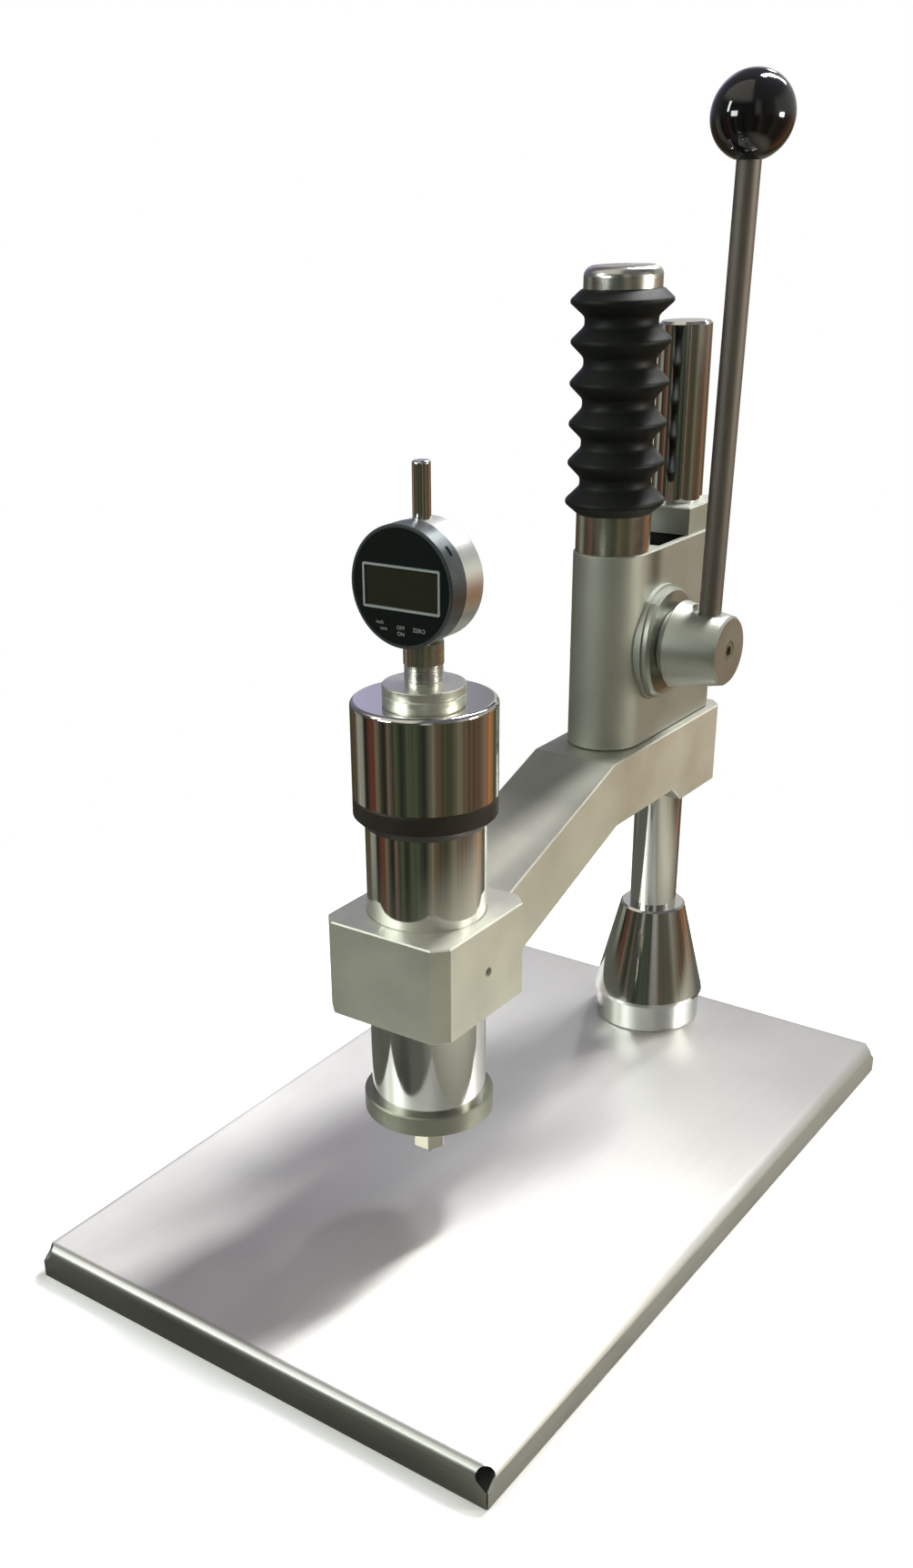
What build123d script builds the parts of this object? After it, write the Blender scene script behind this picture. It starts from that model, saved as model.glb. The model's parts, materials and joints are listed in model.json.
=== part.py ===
import math
import os

from build123d import *

os.makedirs("parts", exist_ok=True)

# Bench durometer. Millimetres, X to the lever side, Y to the back, Z up.
# Origin: centre of the base's footprint, on the surface it stands on.

# base tray
BASE_W, BASE_L, BASE_H, SHEET = 281.0, 450.0, 20.0, 2.0
BEND_R = 6.0
DROP_R, DROP_IN, DROP_H = 4.5, 6.0, 11.2
# arm with its head block; heights above the base follow from the arm's top
ARM_HW, ARM_TOP, ARM_BACK = 25.5, 228.0, 213.0
ARM_SOLE, ARM_HEEL = ARM_TOP - 38.2, ARM_TOP - 47.6
HEAD_Y, BLOCK_HW, BLOCK_Y0, BLOCK_Y1 = -66.4, 37.0, -106.6, -27.8
BLOCK_Z0, BLOCK_Z1, BLOCK_C = ARM_TOP - 88.5, ARM_TOP - 37.0, 7.1
# housing, just above the arm
HOUSE_HW, HOUSE_BACK, HOUSE_Z0 = 21.0, 205.0, ARM_TOP + 0.3
HOUSE_Z1 = HOUSE_Z0 + 107.7
BOSS_Z1 = HOUSE_Z1 + 15.0
GRUB_Z = (HOUSE_Z0 + 27.7, HOUSE_Z1 - 20.0)
# column
COL_Y, COL_R, COL_TOP = 184.7, 14.4, BOSS_Z1 + 95.0
FOOT_BAND_R, FOOT_CONE_R, FOOT_TOP_R = 32.8, 34.4, 20.2
FOOT_BAND_Z, FOOT_TOP_Z = BASE_H + 18.5, BASE_H + 79.7
# ram and bellows
RAM_Y, RAM_R, STEM_R = 111.5, 15.0, 8.0
RAM_Z0, SHOULDER_Z = ARM_TOP - 28.0, HOUSE_Z1 + 11.5
RAM_BUSH_R, COL_BUSH_R = RAM_R + 2.0, COL_R + 2.6
RING_R, TUBE_TOP = 20.0, HOUSE_Z1 + 20.0
BELLOWS_TOP = TUBE_TOP + 110.8
RAM_TOP = BELLOWS_TOP + 10.7
EDGE = 0.7
# lever
HUB_Y, HUB_Z = 131.0, HOUSE_Z0 + 55.7
MODULE, TEETH = 2.0, 12
PITCH_R = MODULE * TEETH / 2
HUB_X0, HUB_X1, HUB_R0, HUB_R1 = 33.4, 63.2, 24.0, 18.6
ROD_X, ROD_R, SEAT_Z = 50.5, 6.0, HUB_Z + 19.0
FLANGE_R, TRIM_R, TRIM_Y = 30.2, 39.3, 13.2
LEAN = math.degrees(math.atan2(4.1, 239.0))
BALL_R, BALL_L, BALL_FLAT = 20.0, 238.2, 18.8
# measuring head
TUBE_R, TUBE_WALL, TUBE_Z0 = 29.9, 3.0, BLOCK_Z0 - 52.4
CAP_WALL, CAP_Z0 = 5.6, BLOCK_Z1 + 61.6
CAP_R, CAP_Z1 = TUBE_R + CAP_WALL, CAP_Z0 + 47.4
TUBE_Z1, SCREW_Z = CAP_Z1 - 10.0, BLOCK_Z0 + 25.5
FOOT_R, FOOT_Z0 = TUBE_R + 4.1, TUBE_Z0 - 11.1
GUIDE_Z0 = TUBE_Z0 + 9.9
SPRING_Z0, SPRING_Z1 = GUIDE_Z0 + 21.0, BLOCK_Z1 - 1.0
SHAFT_R, ROD3_R, HEX_Z0 = 6.0, 3.0, TUBE_Z0 - 35.4
# indicator
IND_Z, IND_R, IND_FACE = CAP_Z1 + 55.2, 28.0, -83.6
LCD_W, LCD_H, FRAME = 40.4, 18.2, 1.0
CLEAR = 0.05


def tube(r_out, r_in, z0, z1, x=0.0, y=0.0):
    """Ring solid between two heights."""
    with BuildPart() as body:
        with Locations((x, y, z0)):
            Cylinder(r_out, z1 - z0, align=(Align.CENTER, Align.CENTER, Align.MIN))
            if r_in > 0:
                Cylinder(r_in, z1 - z0, align=(Align.CENTER, Align.CENTER, Align.MIN), mode=Mode.SUBTRACT)
    return body.part


def save(part, node):
    part.label = node
    export_step(part, "parts/" + node + ".step")


# base: folded tray, flanges meet below an open relief at each corner
with BuildPart() as tray_inside:
    Box(BASE_W - 2 * SHEET, BASE_L - 2 * SHEET, BASE_H - SHEET,
        align=(Align.CENTER, Align.CENTER, Align.MIN))
    fillet(tray_inside.faces().sort_by(Axis.Z)[-1].edges(), BEND_R - SHEET)

with BuildPart() as base_plate:
    Box(BASE_W, BASE_L, BASE_H, align=(Align.CENTER, Align.CENTER, Align.MIN))
    fillet(base_plate.faces().sort_by(Axis.Z)[-1].edges(), BEND_R)
    add(tray_inside.part, mode=Mode.SUBTRACT)
    for sx in (-1, 1):
        for sy in (-1, 1):
            # drop with its point down on the corner edge, and the slit between the flanges
            corner = Plane(origin=(sx * BASE_W / 2, sy * BASE_L / 2, BASE_H - DROP_H),
                           x_dir=(-sx * DROP_IN / math.sqrt(2), -sy * DROP_IN / math.sqrt(2), DROP_H),
                           z_dir=(sx * DROP_H / math.sqrt(2), sy * DROP_H / math.sqrt(2), DROP_IN))
            far = math.hypot(DROP_IN, DROP_H) - DROP_R
            side = math.asin(DROP_R / far)
            x, y = far * math.cos(side) ** 2, far * math.cos(side) * math.sin(side)
            with BuildSketch(corner):
                with Locations((far, 0)):
                    Circle(DROP_R)
                Polygon((0, 0), (x, -y), (x, y), align=None)
            extrude(amount=8, both=True, mode=Mode.SUBTRACT)
            with Locations(Location((sx * BASE_W / 2, sy * BASE_L / 2, 0), (0, 0, 45 * sx * sy))):
                Box(9, 0.8, BASE_H - DROP_H + 1.2, align=(Align.CENTER, Align.CENTER, Align.MIN),
                    mode=Mode.SUBTRACT)
    with Locations((0, COL_Y, BASE_H - SHEET)):
        Cylinder(6.6, SHEET, align=(Align.CENTER, Align.CENTER, Align.MIN), mode=Mode.SUBTRACT)
save(base_plate.part, "base_plate")

with BuildPart() as backing_plate:
    with Locations((0, COL_Y - 32, BASE_H - SHEET - 6)):
        Box(120, 120, 6, align=(Align.CENTER, Align.CENTER, Align.MIN))
    fillet(backing_plate.edges().filter_by(Axis.Z), 6)
    with Locations((0, COL_Y, BASE_H - SHEET - 6)):
        Cylinder(6.6, 6, align=(Align.CENTER, Align.CENTER, Align.MIN), mode=Mode.SUBTRACT)
save(backing_plate.part, "backing_plate")

with BuildPart() as column_bolt:
    with Locations((0, COL_Y, 5.0)):
        Cylinder(9.0, 7.0, align=(Align.CENTER, Align.CENTER, Align.MIN))
        Cylinder(6.0, 55.0, align=(Align.CENTER, Align.CENTER, Align.MIN))
    with BuildSketch(Plane(origin=(0, COL_Y, 5.0), z_dir=(0, 0, -1))):
        RegularPolygon(5.8, 6)
    extrude(amount=-5, mode=Mode.SUBTRACT)
save(column_bolt.part, "column_bolt")

with BuildPart() as column_foot:
    with BuildSketch(Plane.YZ.offset(0)):
        with BuildLine():
            Polyline((COL_Y + COL_R, BASE_H), (COL_Y + FOOT_BAND_R - 0.8, BASE_H),
                     (COL_Y + FOOT_BAND_R, BASE_H + 0.8), (COL_Y + FOOT_BAND_R, FOOT_BAND_Z - 1.0),
                     (COL_Y + FOOT_CONE_R, FOOT_BAND_Z), (COL_Y + FOOT_CONE_R - 0.3, FOOT_BAND_Z + 2.0),
                     (COL_Y + FOOT_TOP_R, FOOT_TOP_Z - 1.2), (COL_Y + FOOT_TOP_R - 1.2, FOOT_TOP_Z),
                     (COL_Y + COL_R, FOOT_TOP_Z), (COL_Y + COL_R, BASE_H))
        make_face()
    revolve(axis=Axis((0, COL_Y, 0), (0, 0, 1)))
save(column_foot.part, "column_foot")

with BuildPart() as column:
    with Locations((0, COL_Y, BASE_H)):
        Cylinder(COL_R, COL_TOP - BASE_H, align=(Align.CENTER, Align.CENTER, Align.MIN))
        Cylinder(6.0, 42, align=(Align.CENTER, Align.CENTER, Align.MIN), mode=Mode.SUBTRACT)
    chamfer(column.edges().filter_by(GeomType.CIRCLE).sort_by(Axis.Z)[-1], 1.4)
save(column.part, "column")

# housing: round nose around the ram, block around the column
with BuildPart() as housing:
    with BuildSketch(Plane.XY.offset(HOUSE_Z0)):
        with Locations((0, (RAM_Y + HOUSE_BACK) / 2)):
            Rectangle(2 * HOUSE_HW, HOUSE_BACK - RAM_Y)
        fillet(vertices().group_by(Axis.Y)[-1], 8)
        with Locations((0, RAM_Y)):
            Circle(HOUSE_HW)
    extrude(amount=HOUSE_Z1 - HOUSE_Z0)
    chamfer(housing.faces().filter_by(Axis.Z).edges(), EDGE)
    # block that clamps the column
    with BuildSketch(Plane.XY.offset(HOUSE_Z1 - 2)):
        with Locations((0, (163 + HOUSE_BACK) / 2)):
            Rectangle(2 * 19.5, HOUSE_BACK - 163)
        fillet(vertices().group_by(Axis.Y)[-1], 8)
    extrude(amount=BOSS_Z1 - HOUSE_Z1 + 2)
    chamfer(housing.faces().sort_by(Axis.Z)[-1].edges(), EDGE)
    # seat for the bearing flange, trimmed to a flatter arc over the nose
    with BuildSketch(Plane(origin=(12.0, HUB_Y, HUB_Z), x_dir=(0, 1, 0), z_dir=(1, 0, 0))):
        Circle(FLANGE_R + 1.4)
        with Locations((TRIM_Y, 0)):
            Circle(TRIM_R + 1.4, mode=Mode.INTERSECT)
    extrude(amount=11.5)
    # open pocket behind the ram, running back under the block
    with Locations((0, 132.0, HOUSE_Z1 - 20)):
        Box(35, 36, 20, align=(Align.CENTER, Align.MIN, Align.MIN), mode=Mode.SUBTRACT)
    # ram bore, tube seat, column bore
    with Locations((0, RAM_Y, HOUSE_Z0)):
        Cylinder(RAM_BUSH_R, HOUSE_Z1 - HOUSE_Z0, align=(Align.CENTER, Align.CENTER, Align.MIN),
                 mode=Mode.SUBTRACT)
    with Locations((0, COL_Y, HOUSE_Z0)):
        Cylinder(COL_R, BOSS_Z1 - HOUSE_Z0, align=(Align.CENTER, Align.CENTER, Align.MIN),
                 mode=Mode.SUBTRACT)
    # pinion bore from the right, bearing seats, left bush hole
    for x0, x1, r in ((-14.0, 15.3, 16.0), (15.3, 23.5, 20.0), (-21.0, -14.0, 12.0)):
        with BuildSketch(Plane(origin=(x0, HUB_Y, HUB_Z), x_dir=(0, 1, 0), z_dir=(1, 0, 0))):
            Circle(r)
        extrude(amount=x1 - x0, mode=Mode.SUBTRACT)
    # grub-screw holes at the back
    for z in GRUB_Z:
        with BuildSketch(Plane(origin=(0, HOUSE_BACK, z), z_dir=(0, -1, 0))):
            Circle(4.0)
        extrude(amount=8.0, mode=Mode.SUBTRACT)
    # cap-screw holes on the left
    for a in (90, 210, 330):
        y, z = HUB_Y + 16 * math.cos(math.radians(a)), HUB_Z + 16 * math.sin(math.radians(a))
        with BuildSketch(Plane(origin=(-HOUSE_HW, y, z), x_dir=(0, 1, 0), z_dir=(1, 0, 0))):
            Circle(1.5)
        extrude(amount=6.0, mode=Mode.SUBTRACT)
save(housing.part, "housing")

with BuildPart() as housing_screws:
    for z in GRUB_Z:
        with BuildSketch(Plane(origin=(0, HOUSE_BACK - 0.5, z), z_dir=(0, -1, 0))):
            Circle(4.0)
        extrude(amount=HOUSE_BACK - 0.5 - (COL_Y + COL_R))
        with BuildSketch(Plane(origin=(0, HOUSE_BACK - 0.5, z), z_dir=(0, -1, 0))):
            RegularPolygon(2.3, 6)
        extrude(amount=3.0, mode=Mode.SUBTRACT)
save(housing_screws.part, "housing_screws")

with BuildPart() as bearing_flange:
    axis_x = Plane(origin=(0, HUB_Y, HUB_Z), x_dir=(0, 1, 0), z_dir=(1, 0, 0))
    with BuildSketch(axis_x.offset(15.3)):
        Circle(20.0)
    extrude(amount=8.2)
    with BuildSketch(axis_x.offset(23.5)):
        Circle(FLANGE_R)
        with Locations((TRIM_Y, 0)):
            Circle(TRIM_R, mode=Mode.INTERSECT)
    extrude(amount=4.6)
    chamfer(bearing_flange.faces().sort_by(Axis.X)[-1].edges(), 1.6)
    with BuildSketch(axis_x.offset(15.3)):
        Circle(12.0)
    extrude(amount=12.8, mode=Mode.SUBTRACT)
save(bearing_flange.part, "bearing_flange")

with BuildPart() as pinion_bushes:
    for x0, x1 in ((-21.0, -14.0), (14.2, 28.1)):
        with BuildSketch(axis_x.offset(x0)):
            Circle(12.0)
            Circle(9.0 + CLEAR, mode=Mode.SUBTRACT)
        extrude(amount=x1 - x0)
save(pinion_bushes.part, "pinion_bushes")

with BuildPart() as bearing_cap:
    with BuildSketch(axis_x.offset(-24.0)):
        Circle(20.0)
        for a in (90, 210, 330):
            with Locations((16 * math.cos(math.radians(a)), 16 * math.sin(math.radians(a)))):
                Circle(1.7, mode=Mode.SUBTRACT)
    extrude(amount=3.0)
    chamfer(bearing_cap.edges().filter_by(GeomType.CIRCLE).group_by(Axis.X)[0].sort_by(
        SortBy.RADIUS)[-1], 0.8)
save(bearing_cap.part, "bearing_cap")

with BuildPart() as cap_screws:
    for a in (90, 210, 330):
        c = (16 * math.cos(math.radians(a)), 16 * math.sin(math.radians(a)))
        with BuildSketch(axis_x.offset(-24.0)):
            with Locations(c):
                Circle(1.5)
        extrude(amount=8.5)
        with BuildSketch(axis_x.offset(-26.0)):
            with Locations(c):
                Circle(2.7)
        extrude(amount=2.0)
        with BuildSketch(axis_x.offset(-26.0)):
            with Locations(c):
                RegularPolygon(1.3, 6)
        extrude(amount=1.2, mode=Mode.SUBTRACT)
save(cap_screws.part, "cap_screws")

with BuildPart() as ram_bushes:
    add(tube(RAM_BUSH_R, RAM_R + CLEAR, HOUSE_Z0 + 1, HOUSE_Z0 + 21, 0, RAM_Y))
    add(tube(RAM_BUSH_R, RAM_R + CLEAR, HOUSE_Z1 - 22, HOUSE_Z1, 0, RAM_Y))
save(ram_bushes.part, "ram_bushes")

with BuildPart() as bellows_tube:
    add(tube(RING_R, RAM_R + 0.8, HOUSE_Z1, TUBE_TOP - 4, 0, RAM_Y))
    add(tube(RING_R, STEM_R + CLEAR, TUBE_TOP - 4, TUBE_TOP, 0, RAM_Y))
    chamfer(bellows_tube.edges().filter_by(GeomType.CIRCLE).group_by(Axis.Z)[0].sort_by(
        SortBy.RADIUS)[-1], 0.3)
save(bellows_tube.part, "bellows_tube")

# ram: rack on its rear side, stem up through the bellows
RACK_Z0, RACK_Z1 = HUB_Z - 22.0, HUB_Z + 38.0
RACK_Y = HUB_Y - PITCH_R
with BuildPart() as ram:
    with Locations((0, RAM_Y, RAM_Z0)):
        Cylinder(RAM_R, SHOULDER_Z - RAM_Z0, align=(Align.CENTER, Align.CENTER, Align.MIN))
    with Locations((0, RAM_Y, SHOULDER_Z)):
        Cylinder(STEM_R, BELLOWS_TOP + 5.2 - SHOULDER_Z, align=(Align.CENTER, Align.CENTER, Align.MIN))
    with Locations((0, RACK_Y + MODULE - CLEAR, RACK_Z0)):
        Box(2 * RAM_R, RAM_R, RACK_Z1 - RACK_Z0, align=(Align.CENTER, Align.MIN, Align.MIN),
            mode=Mode.SUBTRACT)
    pitch = math.pi * MODULE
    for k in range(-4, 7):
        z = HUB_Z + (k + 0.5) * pitch
        if not RACK_Z0 + 2 < z < RACK_Z1 - 2:
            continue
        # gap between two rack teeth, flanks at 20 degrees
        deep, half = 1.25 * MODULE, pitch / 4 + 0.06
        t = math.tan(math.radians(20))
        with BuildSketch(Plane.YZ.offset(-RAM_R)):
            with BuildLine():
                Polyline((RACK_Y - deep, z - half + deep * t), (RACK_Y - deep, z + half - deep * t),
                         (RACK_Y + MODULE + 1, z + half + (MODULE + 1) * t),
                         (RACK_Y + MODULE + 1, z - half - (MODULE + 1) * t),
                         (RACK_Y - deep, z - half + deep * t))
            make_face()
        extrude(amount=2 * RAM_R, mode=Mode.SUBTRACT)
    with Locations((0, RAM_Y, RAM_Z0)):
        Cylinder(4.0, 24, align=(Align.CENTER, Align.CENTER, Align.MIN), mode=Mode.SUBTRACT)
save(ram.part, "ram")

with BuildPart() as bellows_cap:
    add(tube(RING_R, 0, BELLOWS_TOP, RAM_TOP, 0, RAM_Y))
    fillet(bellows_cap.edges().filter_by(GeomType.CIRCLE).sort_by(Axis.Z)[-1], 5.0)
    with Locations((0, RAM_Y, BELLOWS_TOP)):
        Cylinder(STEM_R, 5.2, align=(Align.CENTER, Align.CENTER, Align.MIN), mode=Mode.SUBTRACT)
save(bellows_cap.part, "bellows_cap")

# bellows: six folds of thin rubber, each fold given by its height above the ring and its radius
RIDGES = ((6.2, 26.2), (26.1, 25.4), (45.6, 25.4), (65.7, 25.5), (85.9, 25.6), (105.1, 26.2))
VALLEYS = ((16.2, 18.9), (35.9, 18.8), (55.7, 18.8), (75.8, 18.8), (95.4, 18.8))
SKIN = 1.5
with BuildPart() as bellows:
    outer = [(RING_R, TUBE_TOP)]
    for i, (z, r) in enumerate(RIDGES):
        outer += [(r, TUBE_TOP + z - 0.8), (r, TUBE_TOP + z + 0.8)]
        if i < len(VALLEYS):
            z, r = VALLEYS[i]
            outer += [(r, TUBE_TOP + z - 1.0), (r, TUBE_TOP + z + 1.0)]
    outer += [(RING_R, BELLOWS_TOP)]
    inner_line = [(r - SKIN, z) for r, z in outer[1:-1]]
    lip = RING_R - 2
    ring = outer + [(lip, BELLOWS_TOP), (lip, BELLOWS_TOP - SKIN)] + inner_line[::-1]
    ring += [(lip, TUBE_TOP + SKIN), (lip, TUBE_TOP)]
    with BuildSketch(Plane.YZ):
        with BuildLine():
            Polyline(*[(RAM_Y + r, z) for r, z in ring], close=True)
        make_face()
    revolve(axis=Axis((0, RAM_Y, 0), (0, 0, 1)))
save(bellows.part, "bellows")

with BuildPart() as return_spring:
    with BuildLine() as coil:
        Helix(pitch=9.9, height=BELLOWS_TOP - TUBE_TOP - 3.8, radius=12.6, center=(0, RAM_Y, TUBE_TOP + 1.9))
    with BuildSketch(Plane(origin=coil.line @ 0, z_dir=coil.line % 0)):
        Circle(1.25)
    sweep()
    add(tube(13.9, 11.4, TUBE_TOP, TUBE_TOP + 2.6, 0, RAM_Y))
    add(tube(13.9, 11.4, BELLOWS_TOP - 2.6, BELLOWS_TOP, 0, RAM_Y))
save(return_spring.part, "return_spring")

with BuildPart() as ram_screw:
    with Locations((0, RAM_Y, RAM_Z0 - 9.4)):
        Cylinder(7.0, 7.4, align=(Align.CENTER, Align.CENTER, Align.MIN))
        Cylinder(4.0, 30.0, align=(Align.CENTER, Align.CENTER, Align.MIN))
    with BuildSketch(Plane(origin=(0, RAM_Y, RAM_Z0 - 9.4), z_dir=(0, 0, -1))):
        RegularPolygon(3.9, 6)
    extrude(amount=-4, mode=Mode.SUBTRACT)
save(ram_screw.part, "ram_screw")

# lever side: pinion cut on its shaft
with BuildPart() as pinion_shaft:
    with BuildSketch(axis_x.offset(-13.5)):
        pts = []
        half = math.radians(90.0 / TEETH) - 0.012
        r_root, r_tip = PITCH_R - 1.25 * MODULE, PITCH_R + MODULE - 0.1
        base_r = PITCH_R * math.cos(math.radians(20))
        inv = lambda r: (math.sqrt((r / base_r) ** 2 - 1) - math.acos(base_r / r)) if r > base_r else 0.0
        for k in range(TEETH):
            a0 = math.radians(180) + k * 2 * math.pi / TEETH + math.pi / TEETH
            flank = [r_root] + [base_r + (r_tip - base_r) * i / 4 for i in range(5)]
            up = [(r, half + inv(PITCH_R) - inv(r)) for r in flank]
            pts += [(r * math.cos(a0 - w), r * math.sin(a0 - w)) for r, w in up]
            pts += [(r * math.cos(a0 + w), r * math.sin(a0 + w)) for r, w in up[::-1]]
        with BuildLine():
            Polyline(*pts, close=True)
        make_face()
    extrude(amount=27.0)
    with BuildSketch(axis_x.offset(-20.0)):
        Circle(9.0)
    extrude(amount=80.0)
    with BuildSketch(axis_x.offset(HUB_X1 - 23.2)):
        Circle(5.0)
    extrude(amount=20.0, mode=Mode.SUBTRACT)
save(pinion_shaft.part, "pinion_shaft")

lean_plane = Plane(origin=(ROD_X, HUB_Y, SEAT_Z),
                   x_dir=(math.cos(math.radians(LEAN)), 0, -math.sin(math.radians(LEAN))),
                   z_dir=(math.sin(math.radians(LEAN)), 0, math.cos(math.radians(LEAN))))
with BuildPart() as lever_hub:
    with BuildSketch(Plane.XZ.offset(-HUB_Y)):
        with BuildLine():
            Polyline((28.5, HUB_Z + 9.0), (28.5, HUB_Z + 18.0), (HUB_X0, HUB_Z + 18.0),
                     (HUB_X0, HUB_Z + HUB_R0 - 1.0), (HUB_X0 + 1.0, HUB_Z + HUB_R0),
                     (HUB_X1 - 1.2, HUB_Z + HUB_R1 + 0.2), (HUB_X1, HUB_Z + HUB_R1 - 1.0),
                     (HUB_X1, HUB_Z + 5.6), (HUB_X1 - 3.2, HUB_Z + 5.6), (HUB_X1 - 3.2, HUB_Z + 9.0),
                     close=True)
        make_face()
    revolve(axis=Axis((0, HUB_Y, HUB_Z), (1, 0, 0)))
    with BuildSketch(lean_plane):
        Circle(9.6)
    extrude(amount=12.0, mode=Mode.SUBTRACT)
    with BuildSketch(lean_plane.offset(-9.4)):
        Circle(5.0)
    extrude(amount=10.0, mode=Mode.SUBTRACT)
save(lever_hub.part, "lever_hub")

with BuildPart() as hub_screw:
    with BuildSketch(axis_x.offset(HUB_X1 - 3.2)):
        Circle(5.6)
    extrude(amount=2.9)
    with BuildSketch(axis_x.offset(HUB_X1 - 23.0)):
        Circle(5.0)
    extrude(amount=20.0)
    with BuildSketch(axis_x.offset(HUB_X1 - 3.3)):
        RegularPolygon(3.0, 6)
    extrude(amount=4.0, mode=Mode.SUBTRACT)
    chamfer(hub_screw.edges().filter_by(GeomType.CIRCLE).sort_by(Axis.X)[-1], 0.5)
save(hub_screw.part, "hub_screw")

with BuildPart() as lever_rod:
    with BuildSketch(lean_plane):
        Circle(ROD_R)
    extrude(amount=BALL_L - BALL_FLAT)
    with BuildSketch(lean_plane.offset(-9.0)):
        Circle(5.0)
    extrude(amount=9.5)
    with BuildSketch(lean_plane.offset(BALL_L - BALL_FLAT - 0.5)):
        Circle(5.0)
    extrude(amount=20.0)
save(lever_rod.part, "lever_rod")

with BuildPart() as ball_knob:
    ball_centre = lean_plane.offset(BALL_L).origin
    with Locations(ball_centre):
        Sphere(BALL_R)
    with BuildSketch(lean_plane.offset(BALL_L - BALL_FLAT)):
        Circle(BALL_R + 2)
    extrude(amount=-6.0, mode=Mode.SUBTRACT)
    with BuildSketch(lean_plane.offset(BALL_L - BALL_FLAT - 0.5)):
        Circle(5.0)
    extrude(amount=20.0, mode=Mode.SUBTRACT)
save(ball_knob.part, "ball_knob")

# arm: cranked bar with the head block at its front, one piece
with BuildPart() as head_block:
    with BuildSketch(Plane.XY.offset(BLOCK_Z0)):
        with Locations((0, (BLOCK_Y0 + BLOCK_Y1) / 2)):
            Rectangle(2 * BLOCK_HW, BLOCK_Y1 - BLOCK_Y0)
        chamfer(vertices(), BLOCK_C)
    extrude(amount=BLOCK_Z1 - BLOCK_Z0)
    chamfer(head_block.faces().filter_by(Axis.Z).edges(), EDGE)

with BuildPart() as arm:
    with BuildSketch(Plane.YZ.offset(-ARM_HW)):
        with BuildLine():
            Polyline((ARM_BACK, ARM_TOP), (77.5, ARM_TOP), (BLOCK_Y1 - 2, BLOCK_Z1 - 0.4),
                     (BLOCK_Y1 - 2, BLOCK_Z0 + 8.5), (83.0, ARM_SOLE), (151.0, ARM_SOLE),
                     (163.0, ARM_HEEL), (ARM_BACK, ARM_HEEL), close=True)
        make_face()
    extrude(amount=2 * ARM_HW)
    chamfer(arm.edges().filter_by(Axis.Z).group_by(Axis.Y)[-1], 7.0)
    chamfer(arm.faces().filter_by(Axis.X).edges(), EDGE)
    add(head_block.part)
    with Locations((0, HEAD_Y, BLOCK_Z0)):
        Cylinder(TUBE_R, 60, align=(Align.CENTER, Align.CENTER, Align.MIN), mode=Mode.SUBTRACT)
    with Locations((0, HEAD_Y, BLOCK_Z1 - 0.7)):
        Cone(TUBE_R, TUBE_R + 0.7, 0.7, align=(Align.CENTER, Align.CENTER, Align.MIN),
             mode=Mode.SUBTRACT)
    with Locations((0, COL_Y, ARM_HEEL - 0.4)):
        Cylinder(COL_BUSH_R, 50, align=(Align.CENTER, Align.CENTER, Align.MIN), mode=Mode.SUBTRACT)
    with Locations((0, RAM_Y, RAM_Z0)):
        Cylinder(RAM_R, 40, align=(Align.CENTER, Align.CENTER, Align.MIN), mode=Mode.SUBTRACT)
    with Locations((0, RAM_Y, RAM_Z0 - 15)):
        Cylinder(7.2, 13.0, align=(Align.CENTER, Align.CENTER, Align.MIN), mode=Mode.SUBTRACT)
        Cylinder(4.2, 20.0, align=(Align.CENTER, Align.CENTER, Align.MIN), mode=Mode.SUBTRACT)
    with BuildSketch(Plane(origin=(BLOCK_HW + 1, HEAD_Y, SCREW_Z), x_dir=(0, 1, 0), z_dir=(1, 0, 0))):
        Circle(2.5)
    extrude(amount=-12, mode=Mode.SUBTRACT)
save(arm.part, "arm")

with BuildPart() as column_bush:
    add(tube(COL_BUSH_R, COL_R + CLEAR, ARM_HEEL, ARM_TOP - 0.2, 0, COL_Y))
save(column_bush.part, "column_bush")

with BuildPart() as head_screw:
    with BuildSketch(Plane(origin=(TUBE_R, HEAD_Y, SCREW_Z), x_dir=(0, 1, 0), z_dir=(1, 0, 0))):
        Circle(2.5)
    extrude(amount=5.6)
    with BuildSketch(Plane(origin=(TUBE_R + 5.6, HEAD_Y, SCREW_Z), x_dir=(0, 1, 0), z_dir=(1, 0, 0))):
        RegularPolygon(1.45, 6)
    extrude(amount=-2.5, mode=Mode.SUBTRACT)
save(head_screw.part, "head_screw")

# measuring head
with BuildPart() as head_tube:
    add(tube(TUBE_R, TUBE_R - TUBE_WALL, TUBE_Z0, TUBE_Z1, 0, HEAD_Y))
save(head_tube.part, "head_tube")

with BuildPart() as tube_cap:
    add(tube(CAP_R, 0, CAP_Z0, CAP_Z1, 0, HEAD_Y))
    fillet(tube_cap.edges().filter_by(GeomType.CIRCLE).sort_by(Axis.Z)[-1], 2.6)
    chamfer(tube_cap.edges().filter_by(GeomType.CIRCLE).sort_by(Axis.Z)[0], 0.4)
    with Locations((0, HEAD_Y, CAP_Z0)):
        Cylinder(TUBE_R, TUBE_Z1 - CAP_Z0, align=(Align.CENTER, Align.CENTER, Align.MIN),
                 mode=Mode.SUBTRACT)
        Cylinder(7.0, 60, align=(Align.CENTER, Align.CENTER, Align.MIN), mode=Mode.SUBTRACT)
save(tube_cap.part, "tube_cap")

with BuildPart() as lock_ring:
    with BuildSketch(Plane.YZ):
        with BuildLine():
            Polyline((HEAD_Y + TUBE_R, CAP_Z0 - 14.0), (HEAD_Y + TUBE_R + 0.8, CAP_Z0 - 14.0),
                     (HEAD_Y + CAP_R, CAP_Z0 - 9.2),
                     (HEAD_Y + CAP_R, CAP_Z0 - 0.7), (HEAD_Y + CAP_R - 0.7, CAP_Z0),
                     (HEAD_Y + TUBE_R, CAP_Z0), close=True)
        make_face()
    revolve(axis=Axis((0, HEAD_Y, 0), (0, 0, 1)))
save(lock_ring.part, "lock_ring")

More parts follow.
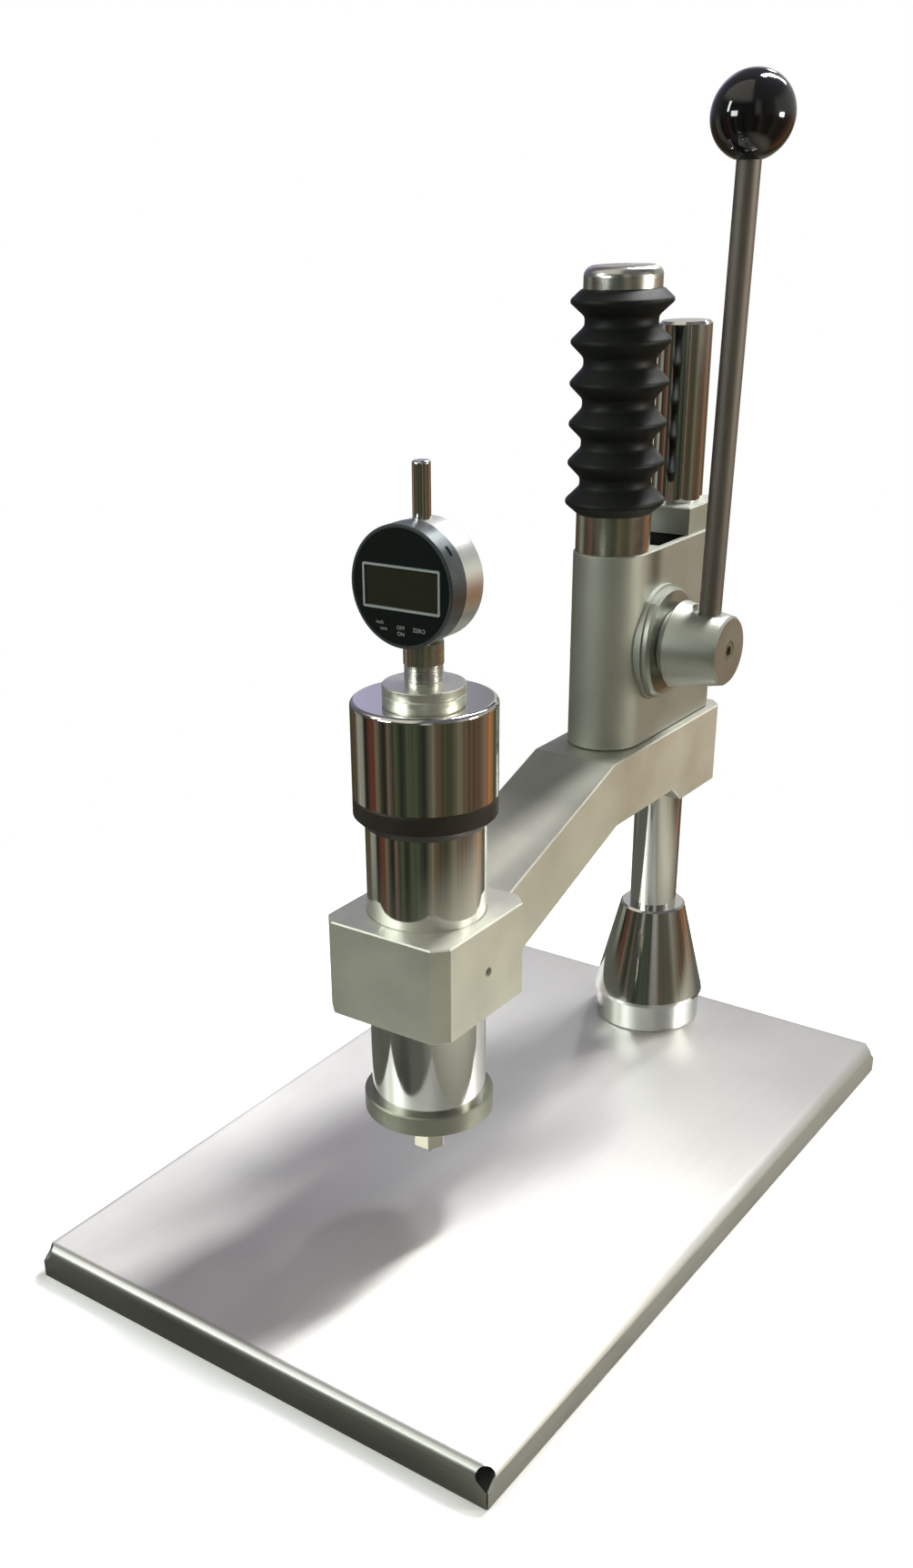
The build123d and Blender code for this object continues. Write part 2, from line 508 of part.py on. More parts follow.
with BuildPart() as pressure_foot:
    with BuildSketch(Plane.YZ):
        with BuildLine():
            Polyline((HEAD_Y + SHAFT_R + 0.5, FOOT_Z0), (HEAD_Y + FOOT_R - 0.8, FOOT_Z0),
                     (HEAD_Y + FOOT_R, FOOT_Z0 + 0.8), (HEAD_Y + FOOT_R, TUBE_Z0 - 0.8),
                     (HEAD_Y + FOOT_R - 0.8, TUBE_Z0), (HEAD_Y + TUBE_R - TUBE_WALL, TUBE_Z0),
                     (HEAD_Y + TUBE_R - TUBE_WALL, GUIDE_Z0), (HEAD_Y + SHAFT_R + 0.5, GUIDE_Z0),
                     close=True)
        make_face()
    revolve(axis=Axis((0, HEAD_Y, 0), (0, 0, 1)))
save(pressure_foot.part, "pressure_foot")

with BuildPart() as guide_bush:
    add(tube(TUBE_R - TUBE_WALL, SHAFT_R + CLEAR, GUIDE_Z0, GUIDE_Z0 + 15.0, 0, HEAD_Y))
save(guide_bush.part, "guide_bush")

with BuildPart() as spring_adjuster:
    add(tube(TUBE_R - TUBE_WALL, ROD3_R + 0.6, SPRING_Z1, SPRING_Z1 + 10.0, 0, HEAD_Y))
    with Locations((0, HEAD_Y, SPRING_Z1 + 6)):
        Box(40, 4, 4, align=(Align.CENTER, Align.CENTER, Align.MIN), mode=Mode.SUBTRACT)
save(spring_adjuster.part, "spring_adjuster")

with BuildPart() as head_spring:
    with BuildLine() as coil2:
        Helix(pitch=7.6, height=SPRING_Z1 - SPRING_Z0 - 3.6, radius=9.5,
              center=(0, HEAD_Y, SPRING_Z0 + 1.8))
    with BuildSketch(Plane(origin=coil2.line @ 0, z_dir=coil2.line % 0)):
        Circle(1.0)
    sweep()
    add(tube(10.8, 8.2, SPRING_Z0, SPRING_Z0 + 2.4, 0, HEAD_Y))
    add(tube(10.8, 8.2, SPRING_Z1 - 2.4, SPRING_Z1, 0, HEAD_Y))
save(head_spring.part, "head_spring")

# indenter, free to lift inside the head until the rod's shoulder nears the indicator stem
STEM_Z0, LIFT = CAP_Z1 - 2.0, 5.0
ROD_TOP = STEM_Z0 - LIFT - 1.0
with BuildPart() as hex_holder:
    with BuildSketch(Plane.XY.offset(HEX_Z0)):
        with Locations((0, HEAD_Y)):
            RegularPolygon(9.0, 6)
    extrude(amount=16.0)
    with Locations((0, HEAD_Y, HEX_Z0)):
        Cylinder(8.9, 16.0, align=(Align.CENTER, Align.CENTER, Align.MIN), mode=Mode.INTERSECT)
    with Locations((0, HEAD_Y, HEX_Z0)):
        Cylinder(5.0, 20.0, align=(Align.CENTER, Align.CENTER, Align.MIN))
        Cylinder(2.1, 6.0, align=(Align.CENTER, Align.CENTER, Align.MIN), mode=Mode.SUBTRACT)
save(hex_holder.part, "hex_holder")

with BuildPart() as indenter_pin:
    with BuildSketch(Plane.YZ):
        with BuildLine():
            Polyline((HEAD_Y, HEX_Z0 - 6.8), (HEAD_Y + 0.4, HEX_Z0 - 6.8), (HEAD_Y + 2.1, HEX_Z0 - 4.3),
                     (HEAD_Y + 2.1, HEX_Z0 + 6.0), (HEAD_Y, HEX_Z0 + 6.0), close=True)
        make_face()
    revolve(axis=Axis((0, HEAD_Y, 0), (0, 0, 1)))
save(indenter_pin.part, "indenter_pin")

with BuildPart() as plunger:
    add(tube(SHAFT_R, 0, HEX_Z0 + 20.0, SPRING_Z0 + 6.0, 0, HEAD_Y))
    add(tube(12.0, 0, GUIDE_Z0 + 15.2, SPRING_Z0, 0, HEAD_Y))
    add(tube(ROD3_R, 0, SPRING_Z0 + 6.0, ROD_TOP, 0, HEAD_Y))
save(plunger.part, "plunger")

with BuildPart() as indicator_spindle:
    add(tube(2.2, 0, ROD_TOP, IND_Z + 28.8, 0, HEAD_Y))
save(indicator_spindle.part, "indicator_spindle")

with BuildPart() as lower_disc:
    add(tube(20.0, 7.0, CAP_Z1, CAP_Z1 + 3.0, 0, HEAD_Y))
    add(tube(18.8, 7.0, CAP_Z1 + 3.0, CAP_Z1 + 3.8, 0, HEAD_Y))
    chamfer(lower_disc.edges().filter_by(GeomType.CIRCLE).group_by(Axis.Z)[1].sort_by(
        SortBy.RADIUS)[-1], 0.4)
save(lower_disc.part, "lower_disc")

with BuildPart() as upper_disc:
    add(tube(20.0, 7.0, CAP_Z1 + 3.8, CAP_Z1 + 7.3, 0, HEAD_Y))
    chamfer(upper_disc.edges().filter_by(GeomType.CIRCLE).sort_by(SortBy.RADIUS)[-2:], 0.4)
save(upper_disc.part, "upper_disc")

with BuildPart() as collet:
    add(tube(8.9, 4.0, CAP_Z1 + 7.3, CAP_Z1 + 22.0, 0, HEAD_Y))
    add(tube(7.0, 4.0, CAP_Z1 - 8.0, CAP_Z1 + 7.3, 0, HEAD_Y))
    with Locations((0, HEAD_Y, CAP_Z1 + 9)):
        Box(0.8, 30, 14, align=(Align.CENTER, Align.CENTER, Align.MIN), mode=Mode.SUBTRACT)
save(collet.part, "collet")

with BuildPart() as clamp_nut:
    add(tube(9.6, 8.9, CAP_Z1 + 16.3, CAP_Z1 + 22.0, 0, HEAD_Y))
    add(tube(9.6, 4.0, CAP_Z1 + 22.0, CAP_Z1 + 27.1, 0, HEAD_Y))
    chamfer(clamp_nut.edges().filter_by(GeomType.CIRCLE).group_by(Axis.Z)[0].sort_by(
        SortBy.RADIUS)[-1], 0.4)
    with BuildSketch(Plane(origin=(-5.6, HEAD_Y - 7.8, CAP_Z1 + 21.8), z_dir=(-5.6, -7.8, 0))):
        Circle(1.0)
    extrude(amount=4.0, both=True, mode=Mode.SUBTRACT)
save(clamp_nut.part, "clamp_nut")

# digital indicator, face towards the operator
face_plane = Plane(origin=(0, IND_FACE, IND_Z), x_dir=(1, 0, 0), z_dir=(0, -1, 0))


def disc_y(r_out, r_in, y0, y1):
    with BuildPart() as body:
        with BuildSketch(Plane(origin=(0, y0, IND_Z), x_dir=(1, 0, 0), z_dir=(0, 1, 0))):
            Circle(r_out)
            if r_in > 0:
                Circle(r_in, mode=Mode.SUBTRACT)
        extrude(amount=y1 - y0)
    return body.part


with BuildPart() as indicator_stem:
    add(tube(4.0, 2.5, STEM_Z0, CAP_Z1 + 32.0, 0, HEAD_Y))
save(indicator_stem.part, "indicator_stem")

with BuildPart() as indicator_case:
    add(disc_y(IND_R - 0.3, 0, -72.0, -57.5))
    fillet(indicator_case.edges().filter_by(GeomType.CIRCLE).sort_by(Axis.Y)[-1], 1.2)
    add(disc_y(25.5, 0, -72.0, -59.5), mode=Mode.SUBTRACT)
    with Locations((0, HEAD_Y, IND_Z - 32)):
        Cylinder(4.0, 20, align=(Align.CENTER, Align.CENTER, Align.MIN), mode=Mode.SUBTRACT)
    with Locations((0, HEAD_Y, IND_Z + 20)):
        Cylinder(4.25, 12, align=(Align.CENTER, Align.CENTER, Align.MIN), mode=Mode.SUBTRACT)
    add(disc_y(22.0, 0, -58.3, -57.5), mode=Mode.SUBTRACT)
save(indicator_case.part, "indicator_case")

with BuildPart() as back_cover:
    add(disc_y(22.0, 0, -58.3, -56.5))
    chamfer(back_cover.edges().filter_by(GeomType.CIRCLE).sort_by(Axis.Y)[-1], 0.5)
save(back_cover.part, "back_cover")

with BuildPart() as bezel:
    add(disc_y(IND_R, 26.4, IND_FACE, -72.3))
    add(disc_y(IND_R - 0.6, 25.5, -72.3, -72.0))
    add(disc_y(26.4, 25.5, -82.0, -72.3))
    chamfer(bezel.edges().filter_by(GeomType.CIRCLE).group_by(Axis.Y)[0].sort_by(SortBy.RADIUS)[-1], 0.5)
    # port cover outline on the rim
    with BuildSketch(Plane(origin=(0, HEAD_Y - 11.2, IND_Z), x_dir=(1, 0, 0), z_dir=(0, -1, 0))):
        with Locations(Location((0, 0, 0), (0, 0, 38))):
            with Locations((IND_R, 0)):
                Rectangle(1.4, 5.0)
    extrude(amount=1.0, both=True, mode=Mode.SUBTRACT)
save(bezel.part, "bezel")

KEYS = {"mode_key": (-11.0, -17.9), "power_key": (-0.4, -19.6), "zero_key": (9.8, -17.9)}
with BuildPart() as face:
    add(disc_y(26.4, 0, IND_FACE + 0.1, -82.0))
    with BuildSketch(face_plane.offset(2)):
        with Locations((0.3, -0.6)):
            Rectangle(LCD_W, LCD_H)
        for x, z in KEYS.values():
            with Locations((x, z)):
                RectangleRounded(8.2, 5.8, 1.9)
    extrude(amount=-6, mode=Mode.SUBTRACT)
save(face.part, "face")

with BuildPart() as lcd_frame:
    with BuildSketch(face_plane.offset(0.5)):
        with Locations((0.3, -0.6)):
            RectangleRounded(LCD_W + 2 * FRAME, LCD_H + 2 * FRAME, 0.9)
            Rectangle(LCD_W, LCD_H, mode=Mode.SUBTRACT)
    extrude(amount=-0.6)
save(lcd_frame.part, "lcd_frame")

with BuildPart() as lcd_glass:
    with BuildSketch(face_plane.offset(-0.3)):
        with Locations((0.3, -0.6)):
            Rectangle(LCD_W, LCD_H)
    extrude(amount=-1.3)
save(lcd_glass.part, "lcd_glass")

with BuildPart() as circuit_board:
    add(disc_y(25.5, 0, -80.6, -79.0))
    with BuildSketch(face_plane.offset(-1.6)):
        with Locations((0.3, -0.6)):
            Rectangle(LCD_W - 4.4, LCD_H - 4.2)
    extrude(amount=-1.4)
save(circuit_board.part, "circuit_board")

for node, (x, z) in KEYS.items():
    with BuildPart() as key:
        with BuildSketch(face_plane.offset(-0.05)):
            with Locations((x, z)):
                RectangleRounded(8.0, 5.6, 1.8)
        extrude(amount=-1.9)
    save(key.part, node)

with BuildPart() as spindle_cover:
    add(tube(4.25, 2.6, IND_Z + 23.8, IND_Z + 52.8, 0, HEAD_Y))
    add(tube(4.25, 0, IND_Z + 50.3, IND_Z + 52.8, 0, HEAD_Y))
    fillet(spindle_cover.edges().filter_by(GeomType.CIRCLE).sort_by(Axis.Z)[-1], 1.3)
save(spindle_cover.part, "spindle_cover")
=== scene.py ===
"""Looks of the bench durometer: finishes, bellows, springs, labels, light and camera."""
import json
import math

import bpy
from mathutils import Matrix, Vector


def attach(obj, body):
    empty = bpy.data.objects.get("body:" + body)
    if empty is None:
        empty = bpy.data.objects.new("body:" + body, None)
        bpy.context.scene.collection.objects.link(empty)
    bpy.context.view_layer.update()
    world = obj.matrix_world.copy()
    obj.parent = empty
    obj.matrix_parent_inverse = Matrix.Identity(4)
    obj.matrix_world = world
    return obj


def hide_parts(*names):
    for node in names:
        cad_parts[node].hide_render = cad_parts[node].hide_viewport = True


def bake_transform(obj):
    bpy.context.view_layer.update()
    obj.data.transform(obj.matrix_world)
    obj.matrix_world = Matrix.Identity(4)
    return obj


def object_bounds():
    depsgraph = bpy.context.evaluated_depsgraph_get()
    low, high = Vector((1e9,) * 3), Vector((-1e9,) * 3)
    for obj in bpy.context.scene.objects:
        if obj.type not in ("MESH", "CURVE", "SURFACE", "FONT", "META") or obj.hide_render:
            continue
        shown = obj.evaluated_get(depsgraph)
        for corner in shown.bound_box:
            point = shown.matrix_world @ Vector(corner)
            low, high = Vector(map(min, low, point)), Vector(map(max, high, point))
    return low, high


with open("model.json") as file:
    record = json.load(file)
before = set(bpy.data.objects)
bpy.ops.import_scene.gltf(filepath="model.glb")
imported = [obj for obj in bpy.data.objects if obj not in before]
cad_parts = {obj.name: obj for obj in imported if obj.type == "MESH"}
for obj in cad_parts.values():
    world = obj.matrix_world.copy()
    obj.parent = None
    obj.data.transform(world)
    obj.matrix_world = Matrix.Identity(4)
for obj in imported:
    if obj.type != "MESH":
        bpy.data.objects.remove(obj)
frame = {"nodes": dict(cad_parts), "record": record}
nodes = frame["nodes"]
cad_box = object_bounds()
scene = bpy.context.scene

# Photo size in pixels, and the camera worked out for it in metres and degrees
PHOTO_W, PHOTO_H = 1004, 1724
FOCAL_PX = 1692.15
CENTRE_PX = (389.76, 1037.15)
CAMERA_AT = Vector((0.40596, -0.63927, 0.51601))
CAMERA_TURN, CAMERA_DOWN, CAMERA_ROLL = 38.3418, 26.1109, -2.0535

# Ram axis and the heights between which the bellows and the ram's spring stretch
RAM_Y, BELLOWS_Z0, BELLOWS_Z1 = 0.1115, 0.356, 0.4668
# Measuring head's axis and the heights of its spring
HEAD_Y, HEAD_SPRING_Z0, HEAD_SPRING_Z1 = -0.0664, 0.118, 0.190


# Shader helpers
def put(tree, kind, inputs=None, **settings):
    """Adds a shader node. Inputs are numbers, sockets, or nodes, whose first output is used."""
    node = tree.nodes.new("ShaderNode" + kind)
    for key, value in settings.items():
        setattr(node, key, value)
    for key, value in (inputs or {}).items():
        if isinstance(value, bpy.types.Node):
            value = value.outputs[0]
        if isinstance(value, bpy.types.NodeSocket):
            tree.links.new(value, node.inputs[key])
        else:
            node.inputs[key].default_value = value
    return node


def math_node(tree, operation, a, b=0.0):
    return put(tree, "Math", {0: a, 1: b}, operation=operation)


def span(tree, value, low, high, to_low=0.0, to_high=1.0):
    """Maps value from low..high to to_low..to_high, held at the ends."""
    return put(tree, "MapRange", {"Value": value, "From Min": low, "From Max": high,
                                  "To Min": to_low, "To Max": to_high})


def blend_colour(tree, factor, a, b, mode="MIX"):
    node = put(tree, "Mix", data_type="RGBA", blend_type=mode)
    for index, value in ((0, factor), (6, a), (7, b)):
        if isinstance(value, bpy.types.Node):
            value = value.outputs[0]
        if isinstance(value, bpy.types.NodeSocket):
            tree.links.new(value, node.inputs[index])
        elif isinstance(value, (int, float)):
            node.inputs[index].default_value = value
        else:
            node.inputs[index].default_value = (*value, 1.0)
    return node.outputs[2]


def ramp(tree, factor, stops, interpolation="LINEAR"):
    node = put(tree, "ValToRGB", {"Fac": factor})
    node.color_ramp.interpolation = interpolation
    while len(node.color_ramp.elements) < len(stops):
        node.color_ramp.elements.new(0.5)
    for element, (place, colour) in zip(node.color_ramp.elements, sorted(stops)):
        element.position = place
        element.color = (*colour, 1.0)
    return node


def new_material(name):
    material = bpy.data.materials.new(name)
    material.use_nodes = True
    tree = material.node_tree
    tree.nodes.clear()
    shader = put(tree, "BsdfPrincipled")
    output = put(tree, "OutputMaterial", {"Surface": shader})
    output.location = (600, 0)
    return material, tree, shader


def place_coords(tree, scale=(1, 1, 1)):
    coords = put(tree, "TexCoord")
    return put(tree, "Mapping", {"Vector": coords.outputs["Object"], "Scale": scale})


def noise(tree, scale, detail=3.0, roughness=0.6, stretch=(1, 1, 1)):
    """Noise with features about 1 / scale metres across, stretched by dividing an axis."""
    coords = place_coords(tree, tuple(scale * s for s in stretch))
    return put(tree, "TexNoise", {"Vector": coords, "Scale": 1.0, "Detail": detail,
                                  "Roughness": roughness})


def tint(colour, share):
    return tuple(min(1.0, c * share) for c in colour)


def inside_box(tree, low, high, edges):
    """1 inside a box in object coordinates, falling to 0 over its soft edges."""
    axes = put(tree, "SeparateXYZ", {"Vector": put(tree, "TexCoord").outputs["Object"]})
    share = 1.0
    for i in range(3):
        rise = span(tree, axes.outputs[i], low[i] - edges[i], low[i])
        fall = span(tree, axes.outputs[i], high[i], high[i] + edges[i], 1.0, 0.0)
        share = math_node(tree, "MULTIPLY", share, math_node(tree, "MULTIPLY", rise, fall))
    return share


def surface(name, colour, rough, metallic=1.0, grain=900, stretch=(1, 1, 1), grain_tint=0.08,
            mottle=22, mottle_tint=0.08, rough_spread=0.1, bump=0.0, bump_size=0.0001,
            anisotropy=0.0, tangent=None, specular=0.5, painted_shade=None):
    """Metal or plastic with a directional grain, cloudy patches and a fine relief.
    The last argument is (share of the colour, low corner, high corner, soft edges) of a box whose colour is
    darkened as painted shade."""
    material, tree, shader = new_material(name)
    fine = noise(tree, grain, 4.0, 0.65, stretch)
    cloud = noise(tree, mottle, 4.0, 0.55)
    shade = blend_colour(tree, fine, tint(colour, 1 - grain_tint), tint(colour, 1 + grain_tint))
    patch = span(tree, cloud, 0.3, 0.7)
    patches = blend_colour(tree, patch, tint((1, 1, 1), 1 - mottle_tint), (1, 1, 1))
    colours = blend_colour(tree, 1.0, shade, patches, "MULTIPLY")
    # Painted shade: inside the box the colour falls to the given share of itself, standing in for shade that
    # falls there.
    if painted_shade:
        colours = blend_colour(tree, inside_box(tree, *painted_shade[1:]), colours, tint(colour, painted_shade[0]))
    tree.links.new(colours, shader.inputs["Base Color"])
    share = math_node(tree, "MULTIPLY", math_node(tree, "ADD", fine, cloud), 0.5)
    low, high = max(0.02, rough - rough_spread), rough + rough_spread
    tree.links.new(span(tree, share, 0.3, 0.7, low, high).outputs[0], shader.inputs["Roughness"])
    shader.inputs["Metallic"].default_value = metallic
    shader.inputs["Specular IOR Level"].default_value = specular
    if bump:
        relief = put(tree, "Bump", {"Height": fine, "Strength": bump, "Distance": bump_size})
        tree.links.new(relief.outputs[0], shader.inputs["Normal"])
    if anisotropy:
        shader.inputs["Anisotropic"].default_value = anisotropy
        if tangent == "ring":
            turn = put(tree, "Tangent", direction_type="RADIAL", axis="Z")
        else:
            turn = put(tree, "CombineXYZ", {0: tangent[0], 1: tangent[1], 2: tangent[2]})
        tree.links.new(turn.outputs[0], shader.inputs["Tangent"])
    return material


def gloss(name, colour, rough, coat=0.0, specular=0.5, speck=0.03):
    """Moulded plastic, paint or film with faint handling marks."""
    material, tree, shader = new_material(name)
    marks = noise(tree, 60, 5.0, 0.6)
    dust = noise(tree, 1800, 2.0, 0.5)
    light = tuple(c + speck * 0.25 for c in colour)
    specks = blend_colour(tree, span(tree, dust, 0.62, 0.8), colour, light)
    tree.links.new(specks, shader.inputs["Base Color"])
    wear = span(tree, marks, 0.35, 0.7, rough, rough + 0.08)
    tree.links.new(wear.outputs[0], shader.inputs["Roughness"])
    shader.inputs["Specular IOR Level"].default_value = specular
    shader.inputs["Coat Weight"].default_value = coat
    shader.inputs["Coat Roughness"].default_value = 0.04
    return material


# Finishes
GRAIN_ALONG_Y = (1.0, 0.012, 1.0)
GRAIN_ALONG_Z = (1.0, 1.0, 0.02)
RINGS_ROUND_Z = (0.05, 0.05, 1.0)

stainless = surface("stainless_sheet", (0.80, 0.80, 0.775), 0.50, grain=1100, stretch=GRAIN_ALONG_Y,
                    grain_tint=0.07, mottle=14, mottle_tint=0.05, rough_spread=0.05, bump=0.12,
                    bump_size=0.00012, anisotropy=0.74, tangent=(1, 0, 0))
satin = surface("satin_steel", (0.46, 0.48, 0.43), 0.45, grain=1900, grain_tint=0.10, mottle=30,
                mottle_tint=0.07, rough_spread=0.07, bump=0.25, bump_size=0.00010)
# The housing's satin is painted down to 6 % of its colour inside the pocket behind the ring: painted shade in
# the recess.
satin_housing = surface("satin_housing", (0.48, 0.50, 0.445), 0.55, grain=1900, grain_tint=0.10, mottle=30,
                        mottle_tint=0.07, rough_spread=0.07, bump=0.25, bump_size=0.00010,
                        painted_shade=(0.06, (-0.0172, 0.1305, 0.310), (0.0172, 0.1700, 0.3352), (0.0012,) * 3))
# The arm's satin is painted down to half its colour from y 10 to 43 mm and on towards the back, under the
# housing: painted shade.
satin_arm = surface("satin_arm", (0.86, 0.87, 0.775), 0.55, grain=1900, grain_tint=0.10, mottle=24,
                    mottle_tint=0.10, rough_spread=0.07, bump=0.25, bump_size=0.00010,
                    painted_shade=(0.52, (-0.0247, 0.043, 0.15), (0.0247, 0.30, 0.30), (0.0006, 0.033, 0.01)))
chrome = surface("chrome_plate", (0.80, 0.80, 0.78), 0.075, grain=700, stretch=GRAIN_ALONG_Z,
                 grain_tint=0.02, mottle=40, mottle_tint=0.03, rough_spread=0.035, bump=0.02,
                 bump_size=0.00004)
turned = surface("bright_steel", (0.70, 0.695, 0.66), 0.22, grain=2600, stretch=RINGS_ROUND_Z,
                 grain_tint=0.10, mottle=35, mottle_tint=0.06, rough_spread=0.08, bump=0.16,
                 bump_size=0.00006, anisotropy=0.5, tangent="ring")
rod_finish = surface("rod_steel", (0.225, 0.203, 0.178), 0.62, grain=1300, stretch=GRAIN_ALONG_Z,
                     grain_tint=0.22, mottle=45, mottle_tint=0.16, rough_spread=0.08, bump=0.2,
                     bump_size=0.00006)
dark = surface("dark_steel", (0.060, 0.053, 0.044), 0.50, metallic=0.55, grain=2200, grain_tint=0.22,
               mottle=70, mottle_tint=0.2, rough_spread=0.09, bump=0.25, bump_size=0.00008)
plain_steel = surface("plain_steel", (0.36, 0.37, 0.305), 0.46, grain=2400, stretch=RINGS_ROUND_Z,
                      grain_tint=0.10, mottle=45, mottle_tint=0.10, rough_spread=0.08, bump=0.12,
                      bump_size=0.00006)
disc_steel = surface("disc_steel", (0.80, 0.81, 0.72), 0.36, grain=2400, stretch=RINGS_ROUND_Z,
                     grain_tint=0.08, mottle=45, mottle_tint=0.08, rough_spread=0.08, bump=0.12,
                     bump_size=0.00006)
hex_steel = surface("hex_steel", (0.74, 0.70, 0.58), 0.20, grain=1500, grain_tint=0.06, mottle=60)
bronze = surface("bronze", (0.66, 0.50, 0.27), 0.27, grain=1500, grain_tint=0.08, mottle=50)
spring_wire = surface("spring_steel", (0.42, 0.42, 0.42), 0.32, grain=1500, grain_tint=0.08)
rubber = surface("black_rubber", (0.008, 0.011, 0.010), 0.52, metallic=0.0, grain=1500, grain_tint=0.35,
                 mottle=45, mottle_tint=0.3, rough_spread=0.10, bump=0.3, bump_size=0.00012, specular=0.3)
knob = gloss("black_knob", (0.006, 0.006, 0.007), 0.045, coat=0.6, specular=0.6, speck=0.012)
front_film = gloss("indicator_front", (0.008, 0.014, 0.014), 0.11, coat=0.35, specular=0.5)
rim_paint = surface("indicator_rim", (0.115, 0.135, 0.142), 0.30, metallic=0.6, grain=1800, grain_tint=0.1,
                    mottle=60, mottle_tint=0.12, rough_spread=0.07, bump=0.1, bump_size=0.00005)
silver = surface("indicator_silver", (0.76, 0.78, 0.765), 0.34, grain=2000, grain_tint=0.05, mottle=40,
                 mottle_tint=0.05, rough_spread=0.06, bump=0.1, bump_size=0.00005)
display = gloss("lcd", (0.030, 0.031, 0.018), 0.16, coat=0.2, specular=0.4, speck=0.01)
board = gloss("board", (0.03, 0.14, 0.07), 0.35)
label_ink = gloss("label_ink", (0.42, 0.46, 0.46), 0.5, specular=0.3)

BY_SLOT = {"stainless_sheet": stainless, "chrome_plate": chrome, "satin_steel": satin, "bright_steel": turned,
           "dark_steel": dark, "rod_steel": rod_finish, "bronze": bronze, "spring_steel": spring_wire,
           "black_rubber": rubber, "black_knob": knob, "indicator_front": front_film,
           "indicator_rim": rim_paint, "indicator_silver": silver, "lcd": display, "board": board}
BY_NODE = {"arm": satin_arm, "housing": satin_housing, "hex_holder": hex_steel,
           "pressure_foot": plain_steel, "hub_screw": plain_steel, "upper_disc": disc_steel,
           "lower_disc": disc_steel, "lcd_frame": label_ink}


def dress_nodes():
    """Each CAD node takes the finish of its slot in the record, or one of its own."""
    for part in frame["record"]["subparts"]:
        node = nodes[part["node"]]
        node.data.materials.clear()
        node.data.materials.append(BY_NODE.get(part["node"], BY_SLOT[part["material_slot"]]))


# Mesh builders
def mesh_piece(name, verts, faces, material):
    mesh = bpy.data.meshes.new(name)
    mesh.from_pydata(verts, [], faces)
    mesh.validate()
    mesh.update()
    for face in mesh.polygons:
        face.use_smooth = True
    piece = bpy.data.objects.new(name, mesh)
    scene.collection.objects.link(piece)
    mesh.materials.append(material)
    return piece


def lathe(name, profile, centre_y, material, steps=96):
    """Turns a closed profile of (radius, height) points round a vertical axis."""
    verts, faces = [], []
    count = len(profile)
    for k in range(steps):
        angle = 2 * math.pi * k / steps
        for radius, height in profile:
            verts.append((radius * math.cos(angle), centre_y + radius * math.sin(angle), height))
    for k in range(steps):
        a, b = k * count, (k + 1) % steps * count
        for i in range(count):
            j = (i + 1) % count
            faces.append((a + i, b + i, b + j, a + j))
    return mesh_piece(name, verts, faces, material)


def coil(name, spring, z0, z1, centre_y, material):
    """A coil spring of (radius, wire radius, turns): a round wire, its end turns laid flat."""
    radius, wire, turns = spring
    around, per_turn = 10, 28
    steps = int((turns + 2) * per_turn)
    verts, faces = [], []
    low, high = z0 + wire, z1 - wire
    for k in range(steps + 1):
        turn = k / per_turn
        rise = min(max((turn - 1) / turns, 0.0), 1.0)
        height = low + (high - low) * rise
        angle = 2 * math.pi * turn
        for j in range(around):
            side = 2 * math.pi * j / around
            r = radius + wire * math.cos(side)
            verts.append((r * math.cos(angle), centre_y + r * math.sin(angle),
                          height + wire * math.sin(side)))
    for k in range(steps):
        for j in range(around):
            i = (j + 1) % around
            faces.append((k * around + j, (k + 1) * around + j, (k + 1) * around + i, k * around + i))
    faces.append(tuple(range(around)))
    faces.append(tuple(range(steps * around, (steps + 1) * around))[::-1])
    return mesh_piece(name, verts, faces, material)


def rounded(points, radius, steps=5):
    """The same line with each inner corner replaced by a short curve of about this radius."""
    line = [points[0]]
    for before, corner, after in zip(points, points[1:], points[2:]):
        c = Vector(corner)
        to_before, to_after = Vector(before) - c, Vector(after) - c
        reach = min(radius, to_before.length * 0.45, to_after.length * 0.45)
        a, b = c + to_before.normalized() * reach, c + to_after.normalized() * reach
        for k in range(steps + 1):
            t = k / steps
            line.append(tuple(a * (1 - t) ** 2 + c * 2 * t * (1 - t) + b * t ** 2))
    line.append(points[-1])
    return line


# Bellows: heights above the ring and radii of the folds, the ring's radius, the skin, the rounding
RIDGES = ((0.0062, 0.0262), (0.0261, 0.0254), (0.0456, 0.0254), (0.0657, 0.0255), (0.0859, 0.0256),
          (0.1051, 0.0262))
VALLEYS = ((0.0162, 0.0189), (0.0359, 0.0188), (0.0557, 0.0188), (0.0758, 0.0188), (0.0954, 0.0188))
RING_R, SKIN, FOLD_R = 0.0200, 0.0013, 0.0016


def make_bellows():
    line = [(RING_R, BELLOWS_Z0), (RING_R + 0.0008, BELLOWS_Z0 + 0.0006)]
    for i, (height, radius) in enumerate(RIDGES):
        line += [(radius, BELLOWS_Z0 + height - 0.0010), (radius, BELLOWS_Z0 + height + 0.0008)]
        if i < len(VALLEYS):
            height, radius = VALLEYS[i]
            line += [(radius, BELLOWS_Z0 + height - 0.0022), (radius, BELLOWS_Z0 + height + 0.0022)]
    line += [(RING_R + 0.0012, BELLOWS_Z1 - 0.0004), (RING_R - 0.0006, BELLOWS_Z1)]
    outer = rounded(line, FOLD_R)
    inner = [(radius - SKIN, height) for radius, height in outer[1:-1]]
    piece = lathe("bellows_skin", outer + inner[::-1], RAM_Y, rubber)
    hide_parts("bellows")
    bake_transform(piece)


# Springs: radius of the coil, radius of the wire, turns
RAM_SPRING, LOAD_SPRING = (0.0126, 0.00125, 10.0), (0.0095, 0.0010, 9.0)


